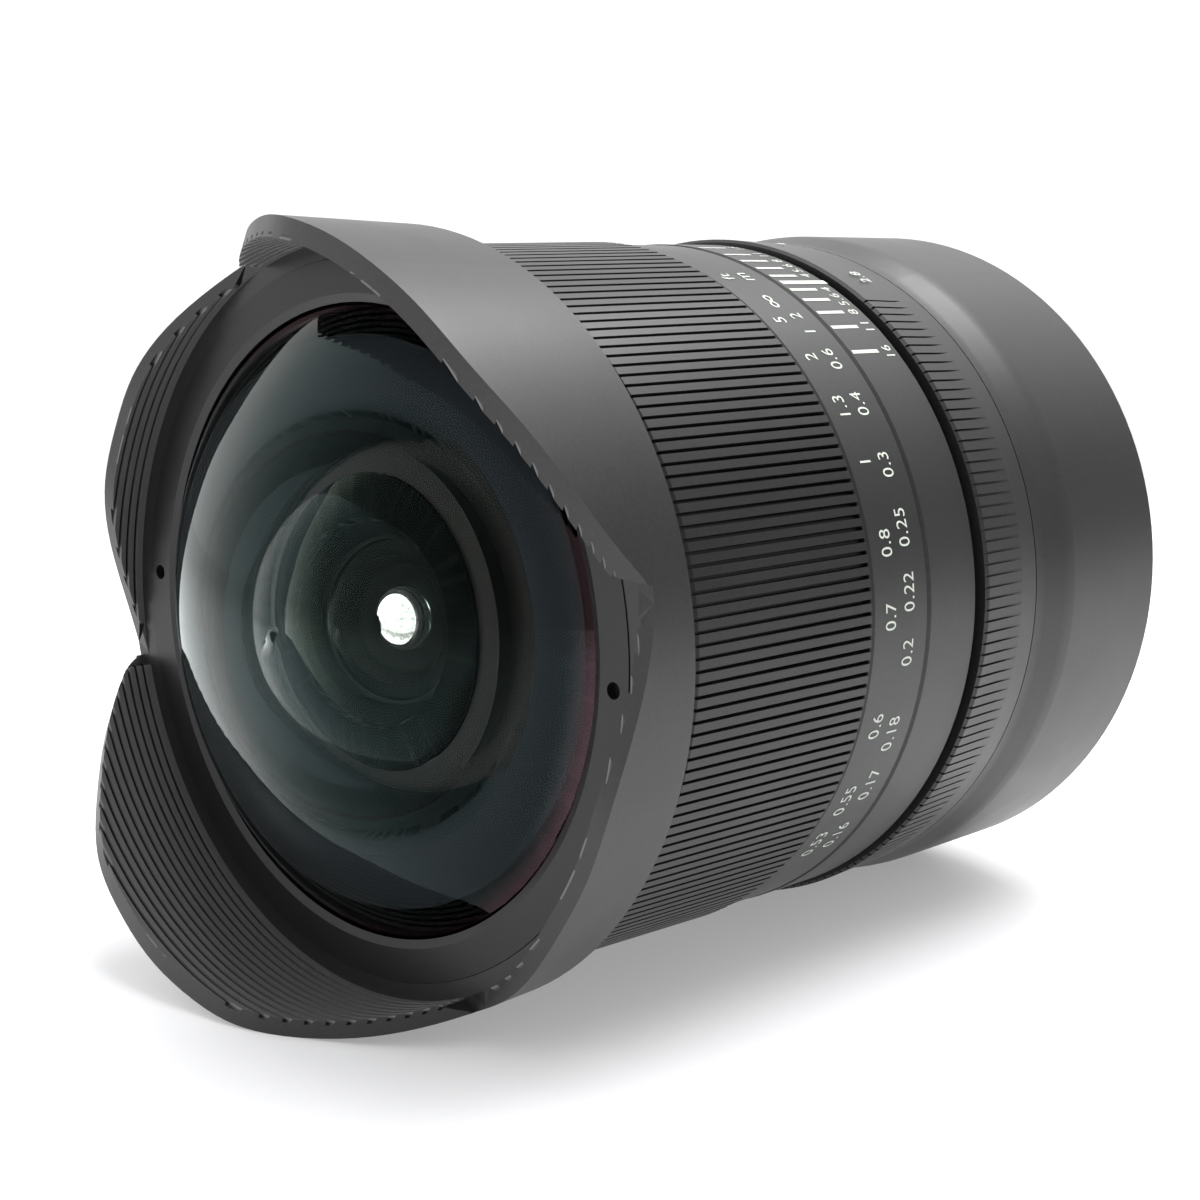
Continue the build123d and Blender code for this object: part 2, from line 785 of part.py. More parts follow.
def iris_blade(number):
    """One blade at its own level, with its pivot pin in the plate and its cam pin in the cam ring."""
    face, tip = blade_face()
    front = blade_front_z + number * blade_pitch + (blade_pitch - blade_thickness) / 2
    rear = front + blade_thickness
    body = Pos(0, 0, front) * extrude(face, amount=blade_thickness)
    body += axial_pin(pivot_pin_radius, plate_front_z, front, pivot_circle_radius, 0)
    cam_pin = Cylinder(cam_pin_radius, cam_rear_z - rear, align=(Align.CENTER, Align.CENTER, Align.MIN))
    body += Pos(tip[0], tip[1], rear) * cam_pin
    return turned(number * 360 / blade_count, swung(swing_open, body))


def cam_path():
    """Path of the first blade's cam pin, seen from the cam ring as it turns."""
    tip_x = pivot_circle_radius * cos(radians(lever_angle)) - pivot_circle_radius
    tip_y = pivot_circle_radius * sin(radians(lever_angle))
    points = []
    for step in range(-1, cam_slot_points + 1):
        share = step / (cam_slot_points - 1)
        swing = radians(swing_open + blade_swing * share)
        x = pivot_circle_radius + tip_x * cos(swing) - tip_y * sin(swing)
        y = tip_x * sin(swing) + tip_y * cos(swing)
        back = -radians(aperture_travel * share)
        points.append((x * cos(back) - y * sin(back), x * sin(back) + y * cos(back)))
    return points


cam_ring_radius = iris_bore_radius - 2 * running_clearance


def cam_slot():
    """Slot for one cam pin: round ends joined by straight-sided steps along the path."""
    points = cam_path()[1:-1]
    width = cam_pin_radius + pin_clearance
    slot = Sketch()
    for point in points:
        slot += Pos(*point) * Circle(width)
    for first, second in zip(points, points[1:]):
        heading = atan2(second[1] - first[1], second[0] - first[0])
        length = hypot(second[0] - first[0], second[1] - first[1])
        middle = ((first[0] + second[0]) / 2, (first[1] + second[1]) / 2)
        slot += Pos(*middle) * Rot(0, 0, degrees(heading)) * Rectangle(length, 2 * width)
    return slot


def iris_cam_ring():
    """Turning ring with one cam slot for each blade and the pin that reaches the aperture ring."""
    body = tube(iris_stop_radius, cam_ring_radius, cam_front_z, cam_rear_z)
    cutter = Pos(0, 0, cam_front_z - overrun) * extrude(cam_slot(), amount=cam_ring_thickness + 2 * overrun)
    for number in range(blade_count):
        body -= turned(number * 360 / blade_count, cutter)
    inner = cam_ring_radius - drive_reach
    outer = tube_radius + running_clearance + drive_reach
    return body + radial_pin(drive_pin_radius, inner, outer, drive_z, drive_pin_angle)


def iris_cover():
    """Plate that closes the iris to the rear."""
    return tube(iris_stop_radius, iris_bore_radius, cover_front_z, cover_rear_z)


# Rear group: axial places and pieces
rear_bore = rear_glass_radius + cell_clearance
seventh_front_z = iris_rear_z + rear_cell_ledge
rear_cement_z = seventh_front_z + seventh_rim
eighth_rear_z = rear_cement_z + eighth_rim
ninth_front_z = eighth_rear_z + rear_spacer_length
second_cement_z = ninth_front_z + ninth_rim
tenth_rear_z = second_cement_z + tenth_rim
last_front_z = tenth_rear_z + rear_spacer_length
last_rear_z = last_front_z + last_rim


def rear_cell():
    """Barrel behind the iris that holds elements seven to eleven and tapers to the rear."""
    last_bore = last_glass_radius + cell_clearance
    tail = last_rear_z + rear_lock_length
    step = last_front_z - rear_cell_ledge
    front_seat = rear_bore - rear_cell_ledge
    front_bulge = sag(seventh_front_curve, rear_glass_radius) - sag(seventh_front_curve, front_seat)
    last_seat = rear_bore - rear_cell_ledge / 2
    last_bulge = sag(last_front_curve, last_glass_radius) - sag(last_front_curve, last_seat)
    return lathe(
        (front_seat, iris_rear_z),
        (cell_radius, iris_rear_z),
        (cell_radius, carrier_rear_z),
        (cell_radius - cell_wall, carrier_rear_z),
        (cell_radius - cell_wall, iris_rear_z + front_web),
        (rear_bore + cell_wall, iris_rear_z + front_web),
        (rear_bore + cell_wall, step - cell_wall),
        (rear_cell_tail_radius, step),
        (rear_cell_tail_radius, tail),
        (last_bore, tail),
        (last_bore, last_front_z),
        (last_seat, last_front_z - last_bulge - cell_clearance),
        (last_seat, step),
        (rear_bore, step),
        (rear_bore, seventh_front_z),
        (front_seat, seventh_front_z - front_bulge - cell_clearance),
    )


def seventh_element():
    return glass(rear_glass_radius, seventh_front_z, seventh_front_curve, rear_cement_z, rear_cement_curve)


def eighth_element():
    return glass(rear_glass_radius, rear_cement_z, rear_cement_curve, eighth_rear_z, eighth_rear_curve)


def ninth_element():
    return glass(rear_glass_radius, ninth_front_z, ninth_front_curve, second_cement_z, second_cement_curve)


def tenth_element():
    return glass(rear_glass_radius, second_cement_z, second_cement_curve, tenth_rear_z, tenth_rear_curve)


def eleventh_element():
    return glass(last_glass_radius, last_front_z, last_front_curve, last_rear_z, last_rear_curve)


def rear_spacer():
    return spacer(
        eighth_rear_z, ninth_front_z, eighth_rear_curve, ninth_front_curve,
        rear_glass_radius, spacer_wall / 2,
    )


def rear_lock_ring():
    """Ring behind the last element."""
    rear = last_rear_z + rear_lock_length
    return spacer(last_rear_z, rear, last_rear_curve, None, last_glass_radius, spacer_wall / 2)


# Rear barrel and mount

def rear_barrel():
    """Outer shell behind the aperture ring: its front rises smoothly from the ring's waist."""
    rise_z = barrel_front_z + barrel_rise_length
    web_z = barrel_rear_z - barrel_web
    web_bore = mount_throat_radius + web_bore_step
    outline = Polyline(
        (rear_barrel_radius, rise_z),
        (rear_barrel_radius, barrel_rear_z - edge_chamfer),
        (rear_barrel_radius - edge_chamfer, barrel_rear_z),
        (web_bore, barrel_rear_z),
        (web_bore, web_z),
        (barrel_bore, web_z),
        (barrel_bore, barrel_front_z + front_web),
        (tube_radius, barrel_front_z + front_web),
        (tube_radius, barrel_front_z),
        (aperture_waist_radius, barrel_front_z),
    )
    rise = Spline(
        (aperture_waist_radius, barrel_front_z), (rear_barrel_radius, rise_z), tangents=((0, 1), (0, 1))
    )
    return revolve(Plane.XZ * make_face([*outline.edges(), rise]), Axis.Z) - screw_holes()


def screw_angle(number):
    return mount_screw_angle + number * 360 / mount_screw_count


def screw_holes():
    """Holes for the mount screws in the rear web."""
    radius = mount_screw_radius + cell_clearance
    floor = -mount_screw_length - cell_clearance
    return Compound([
        axial_pin(radius, floor, overrun, mount_screw_circle, screw_angle(number))
        for number in range(mount_screw_count)
    ])


def mount_plate():
    """Bayonet plate: flange, register and three lugs."""
    body = lathe(
        (mount_throat_radius, barrel_rear_z),
        (mount_plate_radius, barrel_rear_z),
        (mount_plate_radius, -edge_chamfer),
        (mount_plate_radius - edge_chamfer, 0),
        (mount_spigot_radius, 0),
        (mount_spigot_radius, mount_spigot_length),
        (mount_throat_radius, mount_spigot_length),
    )
    lug_rear = mount_lug_front + mount_lug_thickness
    for number in range(mount_lug_count):
        start = number * 360 / mount_lug_count - mount_lug_sweep / 2
        wall = (mount_throat_radius + mount_spigot_radius) / 2
        body += sector(wall, mount_lug_radius, mount_lug_front, lug_rear, start, mount_lug_sweep)
    for number in range(mount_screw_count):
        recess = Pos(mount_screw_circle, 0, 0) * screw_shape(cell_clearance)
        body -= turned(screw_angle(number), recess)
    body -= axial_pin(dot_radius, -dot_sink, overrun, mount_screw_circle, 0)
    hole_front = barrel_rear_z - overrun
    return body - axial_pin(lock_hole_radius, hole_front, overrun, mount_screw_circle, lock_hole_angle)


def screw_shape(extra):
    """Countersunk screw with its head flush at zero."""
    head = mount_screw_head_radius + extra
    shank = mount_screw_radius + extra
    neck = mount_screw_land + head - shank + extra
    tip = mount_screw_length + extra
    return lathe(
        (0, 0), (head, 0), (head, -mount_screw_land - extra), (shank, -neck), (shank, -tip), (0, -tip)
    )


def mount_screws():
    """Four countersunk screws through the mount plate."""
    slot = Box(mount_screw_head_radius, mount_screw_slot_width, 2 * mount_screw_slot_depth)
    cross = slot + Rot(0, 0, 90) * slot
    screw = screw_shape(0) - cross
    return Compound([
        turned(screw_angle(number), Pos(mount_screw_circle, 0, 0) * screw)
        for number in range(mount_screw_count)
    ])


def rear_baffle():
    """Dark plate in the throat with a rounded rectangular opening that frames the image."""
    opening = RectangleRounded(baffle_opening_height, baffle_opening_width, baffle_corner)
    face = Circle(mount_throat_radius + web_bore_step) - opening
    front = barrel_rear_z - baffle_inset - baffle_thickness
    return Pos(0, 0, front) * extrude(face, amount=baffle_thickness)


def alignment_dot():
    """Small disc in the flange that shows how to set the lens on the camera."""
    return axial_pin(dot_radius, -dot_sink, -dot_flush, mount_screw_circle, 0)


# Lay the lens on its side: local Z becomes +Y and local X becomes +Z, then roll it about its axis
laid = Plane(origin=(0, 0, 0), x_dir=(0, 0, 1), z_dir=(0, 1, 0)).location * Rot(0, 0, lying_roll)

pieces = {
    "rear_barrel": rear_barrel,
    "mount_plate": mount_plate,
    "mount_screws": mount_screws,
    "rear_baffle": rear_baffle,
    "alignment_dot": alignment_dot,
    "main_tube": main_tube,
    "scale_ring": scale_ring,
    "guide_keys": guide_keys,
    "key_screws": key_screws,
    "focus_stop_pin": focus_stop_pin,
    "focus_grip_ring": focus_grip_ring,
    "focus_scale_ring": focus_scale_ring,
    "helicoid_sleeve": helicoid_sleeve,
    "petal_hood": petal_hood,
    "front_retaining_ring": front_retaining_ring,
    "carrier_tube": carrier_tube,
    "front_cell": front_cell,
    "element_01": front_element,
    "element_02": second_element,
    "element_03": third_element,
    "element_04": fourth_element,
    "element_05": fifth_element,
    "element_06": sixth_element,
    "element_07": seventh_element,
    "element_08": eighth_element,
    "element_09": ninth_element,
    "element_10": tenth_element,
    "element_11": eleventh_element,
    "first_spacer": first_spacer,
    "second_spacer": second_spacer,
    "front_lock_ring": front_lock_ring,
    "iris_housing": iris_housing,
    "iris_cam_ring": iris_cam_ring,
    "iris_cover": iris_cover,
    "rear_cell": rear_cell,
    "rear_spacer": rear_spacer,
    "rear_lock_ring": rear_lock_ring,
    "aperture_ring": aperture_ring,
}

for name, make in pieces.items():
    export_step(laid * make(), f"parts/{name}.step")

for number in range(blade_count):
    export_step(laid * iris_blade(number), f"parts/iris_blade_{number + 1:02d}.step")
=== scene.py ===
import math

import bpy
from mathutils import Matrix, Vector


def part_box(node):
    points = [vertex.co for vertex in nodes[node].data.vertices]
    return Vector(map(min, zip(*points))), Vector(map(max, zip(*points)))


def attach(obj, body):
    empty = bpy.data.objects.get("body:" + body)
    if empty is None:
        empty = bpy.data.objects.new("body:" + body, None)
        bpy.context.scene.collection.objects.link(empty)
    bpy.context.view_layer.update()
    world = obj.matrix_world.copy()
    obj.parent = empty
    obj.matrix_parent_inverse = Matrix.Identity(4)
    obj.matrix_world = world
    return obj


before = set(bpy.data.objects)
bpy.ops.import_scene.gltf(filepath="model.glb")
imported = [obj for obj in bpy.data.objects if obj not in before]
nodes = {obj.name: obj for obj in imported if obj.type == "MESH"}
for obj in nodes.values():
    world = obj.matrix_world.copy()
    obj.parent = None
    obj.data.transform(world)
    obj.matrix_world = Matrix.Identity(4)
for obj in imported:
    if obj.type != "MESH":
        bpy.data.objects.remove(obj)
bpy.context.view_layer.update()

# Lengths are in metres, with small ones given in millimetres times MM; angles are in degrees
MM = 0.001

# Camera, at the photograph's viewing angle; its focal length and sensor are in millimetres
CAMERA_PLACE = (149.5 * MM, -209.8 * MM, 34.8 * MM)
CAMERA_AZIMUTH = 43.42
CAMERA_ELEVATION = 9.44
CAMERA_ROLL = 0.52
CAMERA_LENS = 62.57
SENSOR_WIDTH = 36.0
NEAREST_SEEN = 0.01

# Floor, touching the hood's rim in front and the rear barrel behind; its glow grows with distance
FLOOR_SIZE = 3.0
FLOOR_TILT = 0.64
FLOOR_GAP = 0.05 * MM
FLOOR_COLOUR = (0.93, 0.93, 0.95, 1)
FLOOR_ROUGHNESS = 0.4
FLOOR_GLOW = 0.3
FLOOR_FADE = (0.15, 0.6)

# Surroundings: strength of their light, and sides where there is less of it. Each side has a direction,
# the cosines between which the light falls, and the share that is left.
SKY_STRENGTH = 1.15
DARK_SIDES = [
    ((0.8, -0.57, 0.12), (0.55, 0.93), 0.4),
    ((0.6, 0.8, 0.0), (0.72, 0.97), 0.3),
]

# Light from behind is this much brighter once it has come through more than so many glass surfaces
THROUGH_GAIN = 7.0
THROUGH_SURFACES = 12

# Soft square light overhead, in watts
SOFTBOX_PLACE = (0.1, 0.2, 0.9)
SOFTBOX_AIM = (0, -0.05, 0)
SOFTBOX_SIZE = 0.8
SOFTBOX_POWER = 17.0

# How often light may bounce: in all, through bending glass, through clear glass, and off glossy faces
MOST_BOUNCES = 44
GLASS_BOUNCES = 36
CLEAR_BOUNCES = 40
GLOSSY_BOUNCES = 8

# Grained surfaces: where the grain's noise reaches its darkest and lightest colour, how many times wider
# than the grain the blotches in roughness are, how much they change it, and the depth of the relief
GRAIN_DETAIL = 4.0
GRAIN_ENDS = (0.3, 0.7)
BLOTCH_WIDTH = 15
BLOTCH_SPREAD = 0.05
RELIEF_DEPTH = 0.02 * MM

# Glass: index, share reflected square on, and that reflection's colour. Elements without an entry are
# cemented ones that don't bend light.
GLASSES = {
    "element_01": (1.5, 0.005, (0.45, 0.72, 0.72)),
    "element_02": (1.6, 0.002, (0.7, 0.9, 0.65)),
    "element_03": (1.9, 0.003, (0.75, 0.8, 0.75)),
    "element_04": (1.9, 0.003, (0.5, 1.0, 0.6)),
    "element_06": (1.9, 0.003, (0.6, 0.6, 1.0)),
    "element_07": (1.65, 0.003, (0.5, 1.0, 0.6)),
    "element_09": (1.6, 0.002, (0.9, 0.6, 0.8)),
    "element_11": (1.85, 0.002, (0.5, 1.0, 0.6)),
}
FRONT_GLASS = "element_01"
GLASS_COLOUR = (0.995, 1.0, 0.995, 1)
GLASS_SHINE_ROUGHNESS = 0.01

# Coating: the reflection starts to grow at so many times bare glass's square-on share, and has lost its
# tint when it reaches the share COATING_PALE_AT
FRONT_COATING_START = 1.0
INNER_COATING_START = 1.35
COATING_PALE_AT = 0.1
COATING_PALE = (0.93, 1.0, 0.97, 1)

# Front glass near its rim: between these radii the reflection turns pink and grows
RIM_RADII = (27.5 * MM, 31 * MM)
RIM_COLOUR = (1.0, 0.45, 0.55, 1)
RIM_SHINE = 0.06

# Black paint on the rims and on the flat lands round hollow rear faces. On the front glass it is grey
# teal: black paint with a painted reflection of the coating.
BLACK_LANDS = ("element_01", "element_02", "element_03")
LAND_SPARE = 0.03 * MM
FRONT_LAND_PAINT_AND_REFLECTION = (0.034, 0.039, 0.044, 1)
LAND_PAINT = (0.004, 0.004, 0.004, 1)

# Hood: its inner wall between the grooves is painted a paler black, a painted sheen for the light the wall
# reflects
HOOD_GROOVE_RADIUS = 36.2 * MM
HOOD_INNER_SHEEN = (0.1, 0.1, 0.102, 1)

# Painted marks: how far they stand proud; and their digits' height, how much narrower than the typeface
# they are, its height as a share of its size, and the space between its digits
PAINT_PROUD = 0.03 * MM
DIGIT_HEIGHT = 1.65 * MM
DIGIT_WIDTH_SHARE = 0.88
TYPE_HEIGHT_SHARE = 0.7
TYPE_SPACING = 1.1

# Index and depth-of-field marks on the fixed ring: widths, lengths and places behind its front edge, and
# the stops' angles on both sides of the index
INDEX_WIDTH = 0.72 * MM
INDEX_START = 0.65 * MM
LINE_WIDTH = 0.46 * MM
LINE_LENGTH = 4.3 * MM
LINE_START = 0.5 * MM
STOP_NUMBER_PLACE = 6.4 * MM
STOP_DIGIT_HEIGHT = 0.85 * DIGIT_HEIGHT
STOP_ANGLES = {"4": 2.4, "5.6": 5.5, "8": 9.0, "11": 12.7, "16": 18.3}

# Distances on the focus ring. Each row has its name, its unit and the unit's height, its place before the
# ring's rear edge, and the angles of its numbers from the index.
FOCUS_ROWS = [
    ("metres", "m", 0.8 * DIGIT_HEIGHT, 3.1 * MM, {
        "2": 9.5, "1": 13.3, "0.6": 19.3, "0.4": 28.0, "0.3": 38.5, "0.25": 48.5, "0.22": 58.5,
        "0.2": 68.0, "0.18": 81.6, "0.17": 91.2, "0.16": 102.6,
    }),
    ("feet", "ft", DIGIT_HEIGHT, 6.1 * MM, {
        "5": 10.4, "2": 18.7, "1.3": 28.1, "1": 37.7, "0.8": 50.5, "0.7": 61.8, "0.6": 79.5,
        "0.55": 93.5, "0.53": 103.5,
    }),
]
UNIT_ANGLE = -2.5
INFINITY_ANGLE = 5.5
INFINITY_ROW = 4.4 * MM
INFINITY_HEIGHT = 0.7 * DIGIT_HEIGHT

# Aperture ring: its turn, its numbers' places as shares of that turn, their height and row
APERTURE_TRAVEL = 50.0
APERTURE_MARKS = {"2.8": 0.0, "4": 0.353, "5.6": 0.608, "8": 0.784, "11": 0.91, "16": 1.0}
APERTURE_DIGIT_HEIGHT = 0.9 * DIGIT_HEIGHT
APERTURE_ROW = 4.4 * MM


def clock(node):
    """Angle of a node about the optical axis, from +Z towards +X, in degrees."""
    low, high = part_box(node)
    middle = (Vector(low) + Vector(high)) / 2
    return math.degrees(math.atan2(middle.x, middle.z))


def span(node):
    """Front and rear place of a ring along the optical axis, and its largest radius."""
    low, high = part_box(node)
    return low[1], high[1], (high[0] - low[0]) / 2


INDEX_ANGLE = clock("alignment_dot")


# Building blocks of the materials. A value is a socket, or a number or vector that stays the same.

def new_material(name):
    material = bpy.data.materials.new(name)
    material.use_nodes = True
    return material, material.node_tree.nodes, material.node_tree.links


def operate(node, links, operation, values):
    """Sets what a node calculates, and gives it its values."""
    node.operation = operation
    for socket, value in zip(node.inputs, values):
        if isinstance(value, bpy.types.NodeSocket):
            links.new(value, socket)
        else:
            socket.default_value = value


def number_math(parts, links, operation, *values):
    node = parts.new("ShaderNodeMath")
    operate(node, links, operation, values)
    return node.outputs["Value"]


def vector_math(parts, links, operation, output, *values):
    """Calculation with vectors; its output is either a Vector or a Value."""
    node = parts.new("ShaderNodeVectorMath")
    operate(node, links, operation, values)
    return node.outputs[output]


def map_range(parts, links, value, source, target=(0.0, 1.0), smooth=False):
    """Moves a value from one range to another, in a straight line or smoothly at both ends."""
    node = parts.new("ShaderNodeMapRange")
    if smooth:
        node.interpolation_type = "SMOOTHSTEP"
    node.inputs["From Min"].default_value, node.inputs["From Max"].default_value = source
    node.inputs["To Min"].default_value, node.inputs["To Max"].default_value = target
    links.new(value, node.inputs["Value"])
    return node.outputs["Result"]


def mix_shaders(parts, links, share, first, second):
    """The first shader where the share is 0, the second where it is 1."""
    mix = parts.new("ShaderNodeMixShader")
    links.new(share, mix.inputs["Fac"])
    links.new(first, mix.inputs[1])
    links.new(second, mix.inputs[2])
    return mix.outputs["Shader"]


def mix_colour(parts, links, share, first, colour):
    """The first colour where the share is 0, the plain colour where it is 1."""
    blend = parts.new("ShaderNodeMix")
    blend.data_type = "RGBA"
    links.new(share, blend.inputs["Factor"])
    links.new(first, blend.inputs["A"])
    blend.inputs["B"].default_value = colour
    return blend.outputs["Result"]


def along_axis(parts, links, vector):
    """How far a vector points along the optical axis."""
    split = parts.new("ShaderNodeSeparateXYZ")
    links.new(vector, split.inputs["Vector"])
    return split.outputs["Y"]


def away_from_axis(parts, links, place):
    """Vector from the optical axis to the place, and its length."""
    flat = vector_math(parts, links, "MULTIPLY", "Vector", place, (1, 0, 1))
    return flat, vector_math(parts, links, "LENGTH", "Value", flat)


# Materials

def grained(name, base, spread, roughness, metallic=0.0, grain=900.0, bump=0.12, shine=0.5):
    """Satin surface with fine grain in colour and relief, and wider blotches in roughness."""
    material, parts, links = new_material(name)
    shader = parts["Principled BSDF"]
    shader.inputs["Metallic"].default_value = metallic
    shader.inputs["Specular IOR Level"].default_value = shine
    place = parts.new("ShaderNodeTexCoord")
    noise = parts.new("ShaderNodeTexNoise")
    noise.inputs["Scale"].default_value = grain
    noise.inputs["Detail"].default_value = GRAIN_DETAIL
    links.new(place.outputs["Object"], noise.inputs["Vector"])
    blotch = parts.new("ShaderNodeTexNoise")
    blotch.inputs["Scale"].default_value = grain / BLOTCH_WIDTH
    links.new(place.outputs["Object"], blotch.inputs["Vector"])
    colours = parts.new("ShaderNodeValToRGB")
    for stop, end, side in zip(colours.color_ramp.elements, GRAIN_ENDS, (-1, 1)):
        stop.position = end
        stop.color = (*[c * (1 + side * spread) for c in base], 1)
    links.new(noise.outputs["Fac"], colours.inputs["Fac"])
    links.new(colours.outputs["Color"], shader.inputs["Base Color"])
    ends = (roughness - BLOTCH_SPREAD, roughness + BLOTCH_SPREAD)
    rough = map_range(parts, links, blotch.outputs["Fac"], (0.0, 1.0), ends)
    links.new(rough, shader.inputs["Roughness"])
    relief = parts.new("ShaderNodeBump")
    relief.inputs["Strength"].default_value = bump
    relief.inputs["Distance"].default_value = RELIEF_DEPTH
    links.new(noise.outputs["Fac"], relief.inputs["Height"])
    links.new(relief.outputs["Normal"], shader.inputs["Normal"])
    return material


def paint_inner_sheen(material):
    """Makes the hood's inner wall paler than its grooves and its outside."""
    parts, links = material.node_tree.nodes, material.node_tree.links
    shader = parts["Principled BSDF"]
    colour = shader.inputs["Base Color"].links[0].from_socket
    place = parts.new("ShaderNodeTexCoord")
    shape = parts.new("ShaderNodeNewGeometry")
    outward, radius = away_from_axis(parts, links, place.outputs["Object"])
    facing = vector_math(parts, links, "DOT_PRODUCT", "Value", outward, shape.outputs["True Normal"])
    inside = number_math(parts, links, "LESS_THAN", facing, 0)
    crest = number_math(parts, links, "LESS_THAN", radius, HOOD_GROOVE_RADIUS)
    # Painted sheen: the inner wall between the grooves gets a paler colour for the light it reflects
    painted_sheen = number_math(parts, links, "MULTIPLY", inside, crest)
    links.new(mix_colour(parts, links, painted_sheen, colour, HOOD_INNER_SHEEN), shader.inputs["Base Color"])


def head_on(ior):
    """Share of light that bare glass reflects when it is seen square on."""
    return ((ior - 1) / (ior + 1)) ** 2


def coated_glass(name, ior, residue, tint):
    """Coated glass: it refracts, reflects a tinted residue square on and more at a low angle.

    Near its rim the front glass reflects more, in another colour. The rim itself is painted black, and so
    is the flat land round a hollow rear face. On the front glass that paint is grey teal: black paint with
    a painted reflection of the coating.
    """
    is_front = name == FRONT_GLASS
    material, parts, links = new_material(name.replace("element", "glass"))
    parts.remove(parts["Principled BSDF"])
    place = parts.new("ShaderNodeTexCoord")
    radius = away_from_axis(parts, links, place.outputs["Object"])[1]

    fresnel = parts.new("ShaderNodeFresnel")
    fresnel.inputs["IOR"].default_value = ior
    start = (FRONT_COATING_START if is_front else INNER_COATING_START) * head_on(ior)
    share = map_range(parts, links, fresnel.outputs["Fac"], (start, 1.0), (residue, 1.0))
    colours = parts.new("ShaderNodeValToRGB")
    colours.color_ramp.elements[0].color = (*tint, 1)
    colours.color_ramp.elements[1].position = COATING_PALE_AT
    colours.color_ramp.elements[1].color = COATING_PALE
    links.new(share, colours.inputs["Fac"])
    colour = colours.outputs["Color"]
    if is_front:
        near_rim = map_range(parts, links, radius, RIM_RADII, smooth=True)
        colour = mix_colour(parts, links, near_rim, colour, RIM_COLOUR)
        share = number_math(parts, links, "MULTIPLY_ADD", near_rim, RIM_SHINE, share)

    through = parts.new("ShaderNodeBsdfRefraction")
    through.inputs["Color"].default_value = GLASS_COLOUR
    through.inputs["Roughness"].default_value = 0.0
    through.inputs["IOR"].default_value = ior
    shine = parts.new("ShaderNodeBsdfGlossy")
    shine.inputs["Roughness"].default_value = GLASS_SHINE_ROUGHNESS
    links.new(colour, shine.inputs["Color"])
    glass = mix_shaders(parts, links, share, through.outputs["BSDF"], shine.outputs["BSDF"])

    _, rear, rim = span(name)
    paint_mask = number_math(parts, links, "GREATER_THAN", radius, rim - LAND_SPARE)
    if name in BLACK_LANDS:
        depth = along_axis(parts, links, place.outputs["Object"])
        land = number_math(parts, links, "GREATER_THAN", depth, rear - LAND_SPARE)
        paint_mask = number_math(parts, links, "MAXIMUM", paint_mask, land)
    # Rim and land paint; on the front glass its grey teal is black paint with a painted reflection of the
    # coating
    black = parts.new("ShaderNodeBsdfDiffuse")
    black.inputs["Color"].default_value = FRONT_LAND_PAINT_AND_REFLECTION if is_front else LAND_PAINT
    whole = mix_shaders(parts, links, paint_mask, glass, black.outputs["BSDF"])
    links.new(whole, parts["Material Output"].inputs["Surface"])
    return material


def clear_glass(name, tint, residue):
    """Glass deep inside the lens: see-through, with a faint coloured reflection."""
    material, parts, links = new_material(name)
    parts.remove(parts["Principled BSDF"])
    through = parts.new("ShaderNodeBsdfTransparent")
    shine = parts.new("ShaderNodeBsdfGlossy")
    shine.inputs["Color"].default_value = (*tint, 1)
    shine.inputs["Roughness"].default_value = GLASS_SHINE_ROUGHNESS
    edge = parts.new("ShaderNodeLayerWeight")
    edge.inputs["Blend"].default_value = residue
    share = edge.outputs["Fresnel"]
    glass = mix_shaders(parts, links, share, through.outputs["BSDF"], shine.outputs["BSDF"])
    links.new(glass, parts["Material Output"].inputs["Surface"])
    return material


# Finishes: name, colour, how much the grain changes it, roughness, and what else sets them apart
anodised = grained("anodised_black", (0.012, 0.012, 0.0125), 0.25, 0.38, grain=2500.0, bump=0.25)
knurl_black = grained("knurl_black", (0.01, 0.01, 0.0102), 0.2, 0.36, grain=2000.0, bump=0.2, shine=0.4)
hood_black = grained("hood_black", (0.012, 0.012, 0.0122), 0.25, 0.38, grain=2500.0, bump=0.3)
# The hood's inner wall gets a painted sheen
paint_inner_sheen(hood_black)
ring_black = grained("ring_black", (0.008, 0.008, 0.0085), 0.2, 0.35, grain=2500.0, bump=0.1, shine=0.4)
inner_black = grained("inner_black", (0.004, 0.0038, 0.0035), 0.3, 0.5, grain=4000.0, bump=0.02, shine=0.1)
cell_satin = grained("cell_satin", (0.007, 0.0062, 0.005), 0.2, 0.4, grain=4000.0, bump=0.02, shine=0.2)
tube_grey = grained("tube_grey", (0.05, 0.05, 0.052), 0.2, 0.4, metallic=0.6, grain=1500.0)
chrome = grained("mount_chrome", (0.5, 0.49, 0.46), 0.06, 0.25, metallic=1.0, grain=600.0, bump=0.05)
steel = grained("screw_steel", (0.55, 0.55, 0.55), 0.08, 0.3, metallic=1.0, grain=900.0)
brass = grained("key_brass", (0.6, 0.42, 0.18), 0.1, 0.35, metallic=1.0, grain=900.0)
blade_black = grained("blade_black", (0.006, 0.006, 0.0062), 0.2, 0.4, metallic=0.5, grain=800.0, shine=0.2)
bead_red = grained("bead_red", (0.55, 0.01, 0.015), 0.1, 0.25, grain=600.0, bump=0.05)
paint = grained("paint_pale", (0.5, 0.54, 0.48), 0.08, 0.55, grain=3000.0, bump=0.1)
glasses = {name: coated_glass(name, *glass) for name, glass in GLASSES.items()}
cemented_glass = clear_glass("cemented_glass", tint=(0.35, 0.8, 0.55), residue=0.02)

